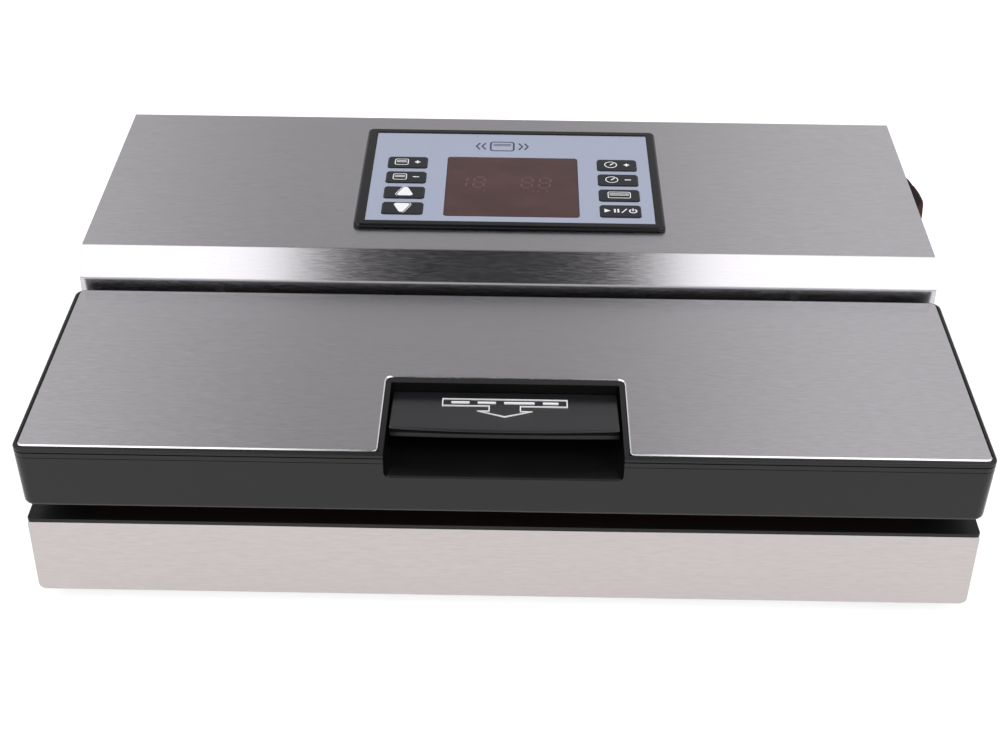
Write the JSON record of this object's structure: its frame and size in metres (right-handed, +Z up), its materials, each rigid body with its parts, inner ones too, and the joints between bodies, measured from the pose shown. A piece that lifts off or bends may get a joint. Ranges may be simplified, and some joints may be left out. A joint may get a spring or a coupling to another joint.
{
  "type": "vacuum sealer",
  "caption": "Countertop vacuum sealer: stainless body, hinged black lid with steel top plate and finger grip, sealing deck under it, control panel with keys and display on the housing behind.",
  "frame": {"origin": "bottom centre of the whole object's box, on the surface the feet stand on", "axes": "+X to the user's right, +Y towards the rear, +Z up; the lid's front faces -Y"},
  "size_m": [0.4488, 0.3094, 0.1086],
  "materials": {
    "stainless": "stainless sheet, brushed across its width",
    "steel": "zinc-plated steel",
    "black_abs": "black moulded ABS, satin",
    "gloss_black": "black moulded plastic, glossy",
    "rubber": "black moulded rubber",
    "gasket_foam": "closed-cell foam",
    "silicone": "solid silicone, brick red",
    "tray_plastic": "dark grey moulded plastic",
    "aluminium": "extruded aluminium",
    "heater_metal": "nickel-chrome ribbon",
    "ptfe_cloth": "brown PTFE-coated glass cloth",
    "overlay_film": "silver-blue printed film, satin",
    "window_film": "dark red transparent window over the display",
    "key_black": "black keys with white printed symbols",
    "red_plastic": "translucent red rocker",
    "circuit_board": "green solder mask",
    "copper": "enamelled copper winding",
    "core_steel": "varnished steel laminations",
    "part_blue": "blue component case",
    "hose_silicone": "translucent silicone tube"
  },
  "bodies": {
    "base": {"front_panel": "stainless", "left_side_panel": "stainless", "right_side_panel": "stainless", "housing_cover": "stainless", "rear_panel": "stainless", "base_pan": "steel", "hinge_bracket_left": "steel", "hinge_bracket_right": "steel", "pump_motor": "steel", "valve_body": "steel", "deck": "black_abs", "control_bezel": "black_abs", "switch_housing": "black_abs", "power_inlet": "black_abs", "fan_frame": "black_abs", "pump_head": "black_abs", "display_module": "gloss_black", "capacitor": "gloss_black", "lid_sensor": "gloss_black", "foot_front_left": "rubber", "foot_front_right": "rubber", "foot_rear_left": "rubber", "foot_rear_right": "rubber", "lower_gasket": "gasket_foam", "seal_bar": "aluminium", "vacuum_port": "aluminium", "heater_strip": "heater_metal", "ptfe_tape": "ptfe_cloth", "control_overlay": "overlay_film", "display_window": "window_film", "display_pcb": "circuit_board", "main_pcb": "circuit_board", "transformer_coil": "copper", "transformer_core": "core_steel", "relay": "part_blue", "vacuum_hose": "hose_silicone"},
    "lid": {"lid_frame": "black_abs", "lid_plate": "stainless", "lid_liner": "black_abs", "upper_gasket": "gasket_foam", "pressure_strip": "silicone", "lid_handle": "gloss_black", "hinge_pin_left": "steel", "hinge_pin_right": "steel", "hinge_spring_left": "steel", "hinge_spring_right": "steel", "lid_magnet": "steel"},
    "drip_tray": {"drip_tray": "tray_plastic"},
    "rocker": {"power_rocker": "red_plastic"},
    "fan_rotor": {"fan_impeller": "gloss_black"},
    "pump_rotor": {"pump_crank": "steel"},
    "valve_plunger": {"valve_plunger": "aluminium"},
    "key_left_minor_down": {"key_left_minor_down": "key_black"},
    "key_left_minor_up": {"key_left_minor_up": "key_black"},
    "key_left_minus": {"key_left_minus": "key_black"},
    "key_left_plus": {"key_left_plus": "key_black"},
    "key_right_minor_down": {"key_right_minor_down": "key_black"},
    "key_right_minor_up": {"key_right_minor_up": "key_black"},
    "key_right_minus": {"key_right_minus": "key_black"},
    "key_right_plus": {"key_right_plus": "key_black"}
  },
  "joints": [
    {"name": "lid_hinge", "type": "hinge", "parent": "base", "child": "lid", "pos_m": [-0.00365, -0.0248, 0.08], "axis": [-1, 0, 0], "range_deg": [-1.2, 95], "stiffness_Nm_per_rad": 0.35, "springref_deg": 85.94},
    {"name": "drip_tray_lift", "type": "slide", "parent": "base", "child": "drip_tray", "axis": [0, 0, 1], "range_m": [0, 0.01]},
    {"name": "power_rocker_tilt", "type": "hinge", "parent": "base", "child": "rocker", "pos_m": [0.21235, 0.0802, 0.0876], "axis": [0, 0, -1], "range_deg": [0, 10]},
    {"name": "fan_spin", "type": "hinge", "parent": "base", "child": "fan_rotor", "pos_m": [-0.12865, 0.1457, 0.057], "axis": [0, 1, 0], "continuous": true},
    {"name": "pump_spin", "type": "hinge", "parent": "base", "child": "pump_rotor", "pos_m": [0.15235, 0.0742, 0.037], "axis": [1, 0, 0], "continuous": true},
    {"name": "valve_stroke", "type": "slide", "parent": "base", "child": "valve_plunger", "axis": [0, 0, 1], "range_m": [0, 0.002], "stiffness_N_per_m": 300, "springref_m": -0.002},
    {"name": "key_left_minor_down_press", "type": "slide", "parent": "base", "child": "key_left_minor_down", "axis": [0, 0, -1], "range_m": [0, 0.0007], "stiffness_N_per_m": 1500, "springref_m": -0.0004},
    {"name": "key_left_minor_up_press", "type": "slide", "parent": "base", "child": "key_left_minor_up", "axis": [0, 0, -1], "range_m": [0, 0.0007], "stiffness_N_per_m": 1500, "springref_m": -0.0004},
    {"name": "key_left_minus_press", "type": "slide", "parent": "base", "child": "key_left_minus", "axis": [0, 0, -1], "range_m": [0, 0.0007], "stiffness_N_per_m": 1500, "springref_m": -0.0004},
    {"name": "key_left_plus_press", "type": "slide", "parent": "base", "child": "key_left_plus", "axis": [0, 0, -1], "range_m": [0, 0.0007], "stiffness_N_per_m": 1500, "springref_m": -0.0004},
    {"name": "key_right_minor_down_press", "type": "slide", "parent": "base", "child": "key_right_minor_down", "axis": [0, 0, -1], "range_m": [0, 0.0007], "stiffness_N_per_m": 1500, "springref_m": -0.0004},
    {"name": "key_right_minor_up_press", "type": "slide", "parent": "base", "child": "key_right_minor_up", "axis": [0, 0, -1], "range_m": [0, 0.0007], "stiffness_N_per_m": 1500, "springref_m": -0.0004},
    {"name": "key_right_minus_press", "type": "slide", "parent": "base", "child": "key_right_minus", "axis": [0, 0, -1], "range_m": [0, 0.0007], "stiffness_N_per_m": 1500, "springref_m": -0.0004},
    {"name": "key_right_plus_press", "type": "slide", "parent": "base", "child": "key_right_plus", "axis": [0, 0, -1], "range_m": [0, 0.0007], "stiffness_N_per_m": 1500, "springref_m": -0.0004}
  ]
}
